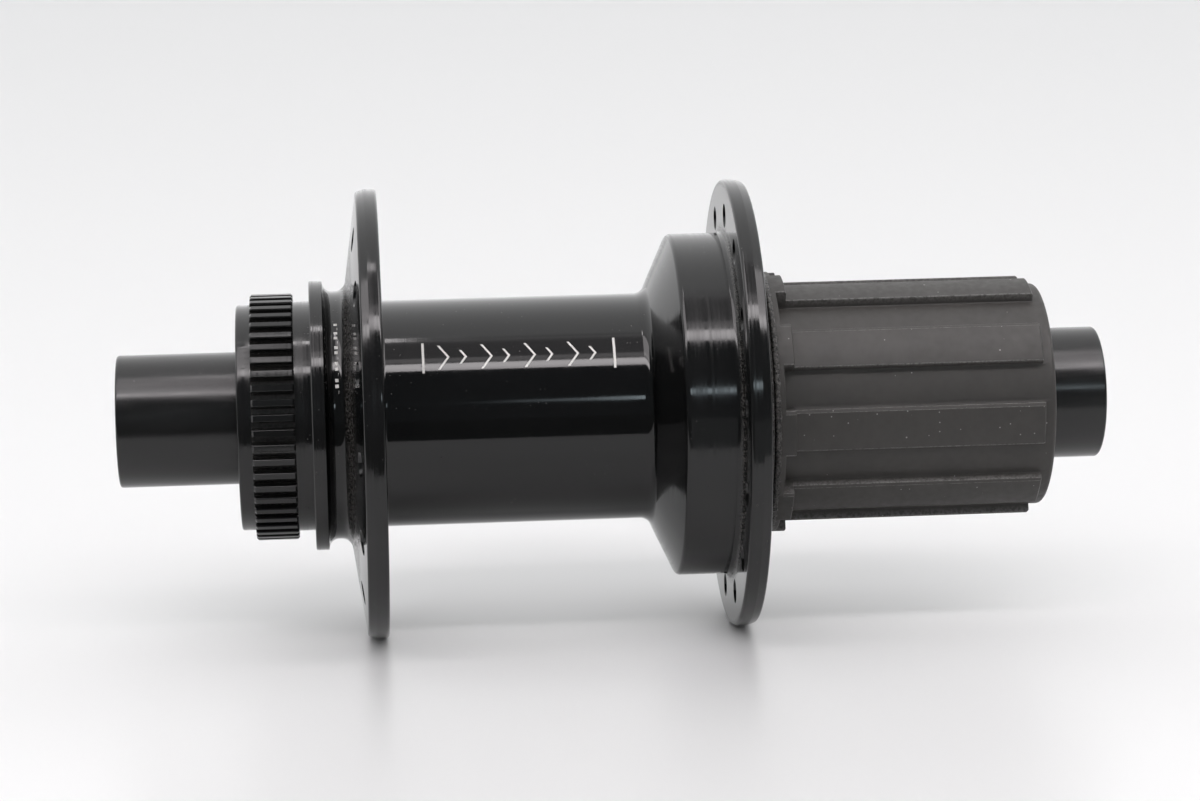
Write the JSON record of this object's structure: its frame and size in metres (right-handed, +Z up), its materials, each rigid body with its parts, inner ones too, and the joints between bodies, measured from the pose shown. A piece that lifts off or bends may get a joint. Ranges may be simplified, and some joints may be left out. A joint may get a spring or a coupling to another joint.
{
  "type": "rear hub assembly",
  "caption": "Rear bicycle hub with two spoke flanges, a splined disc rotor mount, a splined cassette freehub driven through pawls, and straight through-axle end caps.",
  "frame": {"origin": "middle of the hub axis, half way between the two dropout faces", "axes": "+Y along the hub axis to the disc side, +X forwards, +Z up; a wheel rolling forwards turns the positive way about +Y"},
  "size_m": [0.0648, 0.142, 0.0648],
  "materials": {
    "shell_anodised": "gloss black anodised over fine turning marks",
    "cap_anodised": "gloss black anodised",
    "freehub_anodised": "matt dark grey hard anodised, machined and scuffed",
    "rubber_black": "greasy black rubber",
    "axle_alloy": "bare turned aluminium",
    "spacer_alloy": "bare turned aluminium",
    "ratchet_steel": "hardened steel, lightly oiled",
    "pawl_steel": "ground steel",
    "spring_steel": "bright spring steel",
    "bearing_steel": "ground bearing steel",
    "ball_steel": "polished bearing steel",
    "cage_brass": "pressed brass",
    "seal_rubber": "moulded black rubber"
  },
  "bodies": {
    "axle": {"axle": "axle_alloy", "end_cap_disc_side": "cap_anodised", "end_cap_drive_side": "cap_anodised", "cap_o_rings": "rubber_black", "shield_disc_side": "seal_rubber", "shield_drive_side": "seal_rubber", "hub_freehub_spacer": "spacer_alloy", "freehub_bearing_spacer": "spacer_alloy", "disc_bearing_inner_race": "bearing_steel", "drive_bearing_inner_race": "bearing_steel", "freehub_inner_bearing_inner_race": "bearing_steel", "freehub_outer_bearing_inner_race": "bearing_steel"},
    "hub_shell": {"hub_shell": "shell_anodised", "ratchet_ring": "ratchet_steel", "disc_bearing_outer_race": "bearing_steel", "disc_bearing_seals": "seal_rubber", "drive_bearing_outer_race": "bearing_steel", "drive_bearing_seals": "seal_rubber"},
    "freehub": {"freehub_body": "freehub_anodised", "freehub_seal": "rubber_black", "freehub_snap_ring": "spring_steel", "pawl_springs": "spring_steel", "freehub_inner_bearing_outer_race": "bearing_steel", "freehub_inner_bearing_seals": "seal_rubber", "freehub_outer_bearing_outer_race": "bearing_steel", "freehub_outer_bearing_seals": "seal_rubber"},
    "disc_bearing_cage": {"disc_bearing_balls": "ball_steel", "disc_bearing_cage": "cage_brass"},
    "drive_bearing_cage": {"drive_bearing_balls": "ball_steel", "drive_bearing_cage": "cage_brass"},
    "freehub_inner_bearing_cage": {"freehub_inner_bearing_balls": "ball_steel", "freehub_inner_bearing_cage": "cage_brass"},
    "freehub_outer_bearing_cage": {"freehub_outer_bearing_balls": "ball_steel", "freehub_outer_bearing_cage": "cage_brass"},
    "pawl_1": {"pawl_1": "pawl_steel"},
    "pawl_2": {"pawl_2": "pawl_steel"},
    "pawl_3": {"pawl_3": "pawl_steel"},
    "pawl_4": {"pawl_4": "pawl_steel"}
  },
  "joints": [
    {"name": "hub_spin", "type": "hinge", "parent": "axle", "child": "hub_shell", "pos_m": [0, 0, 0], "axis": [0, 1, 0], "continuous": true},
    {"name": "freehub_spin", "type": "hinge", "parent": "axle", "child": "freehub", "pos_m": [0, 0, 0], "axis": [0, 1, 0], "continuous": true},
    {"name": "disc_bearing_cage_spin", "type": "hinge", "parent": "axle", "child": "disc_bearing_cage", "pos_m": [0, 0, 0], "axis": [0, 1, 0], "continuous": true},
    {"name": "drive_bearing_cage_spin", "type": "hinge", "parent": "axle", "child": "drive_bearing_cage", "pos_m": [0, 0, 0], "axis": [0, 1, 0], "continuous": true},
    {"name": "freehub_inner_bearing_cage_spin", "type": "hinge", "parent": "axle", "child": "freehub_inner_bearing_cage", "pos_m": [0, 0, 0], "axis": [0, 1, 0], "continuous": true},
    {"name": "freehub_outer_bearing_cage_spin", "type": "hinge", "parent": "axle", "child": "freehub_outer_bearing_cage", "pos_m": [0, 0, 0], "axis": [0, 1, 0], "continuous": true},
    {"name": "pawl_1_hinge", "type": "hinge", "parent": "freehub", "child": "pawl_1", "pos_m": [0.0156, 0, 0], "axis": [0, 1, 0], "range_deg": [-11, 0], "stiffness_Nm_per_rad": 0.001, "springref_deg": -40.11, "deforming": ["pawl_springs"]},
    {"name": "pawl_2_hinge", "type": "hinge", "parent": "freehub", "child": "pawl_2", "pos_m": [0, 0, -0.0156], "axis": [0, 1, 0], "range_deg": [-11, 0], "stiffness_Nm_per_rad": 0.001, "springref_deg": -40.11},
    {"name": "pawl_3_hinge", "type": "hinge", "parent": "freehub", "child": "pawl_3", "pos_m": [-0.0156, 0, 0], "axis": [0, 1, 0], "range_deg": [-11, 0], "stiffness_Nm_per_rad": 0.001, "springref_deg": -40.11},
    {"name": "pawl_4_hinge", "type": "hinge", "parent": "freehub", "child": "pawl_4", "pos_m": [0, 0, 0.0156], "axis": [0, 1, 0], "range_deg": [-11, 0], "stiffness_Nm_per_rad": 0.001, "springref_deg": -40.11}
  ],
  "couplings": [
    {"joint": "disc_bearing_cage_spin", "follows": "hub_spin", "ratio": 0.58139},
    {"joint": "drive_bearing_cage_spin", "follows": "hub_spin", "ratio": 0.58139},
    {"joint": "freehub_inner_bearing_cage_spin", "follows": "freehub_spin", "ratio": 0.58139},
    {"joint": "freehub_outer_bearing_cage_spin", "follows": "freehub_spin", "ratio": 0.58139},
    {"joint": "pawl_2_hinge", "follows": "pawl_1_hinge", "ratio": 1},
    {"joint": "pawl_3_hinge", "follows": "pawl_1_hinge", "ratio": 1},
    {"joint": "pawl_4_hinge", "follows": "pawl_1_hinge", "ratio": 1}
  ]
}
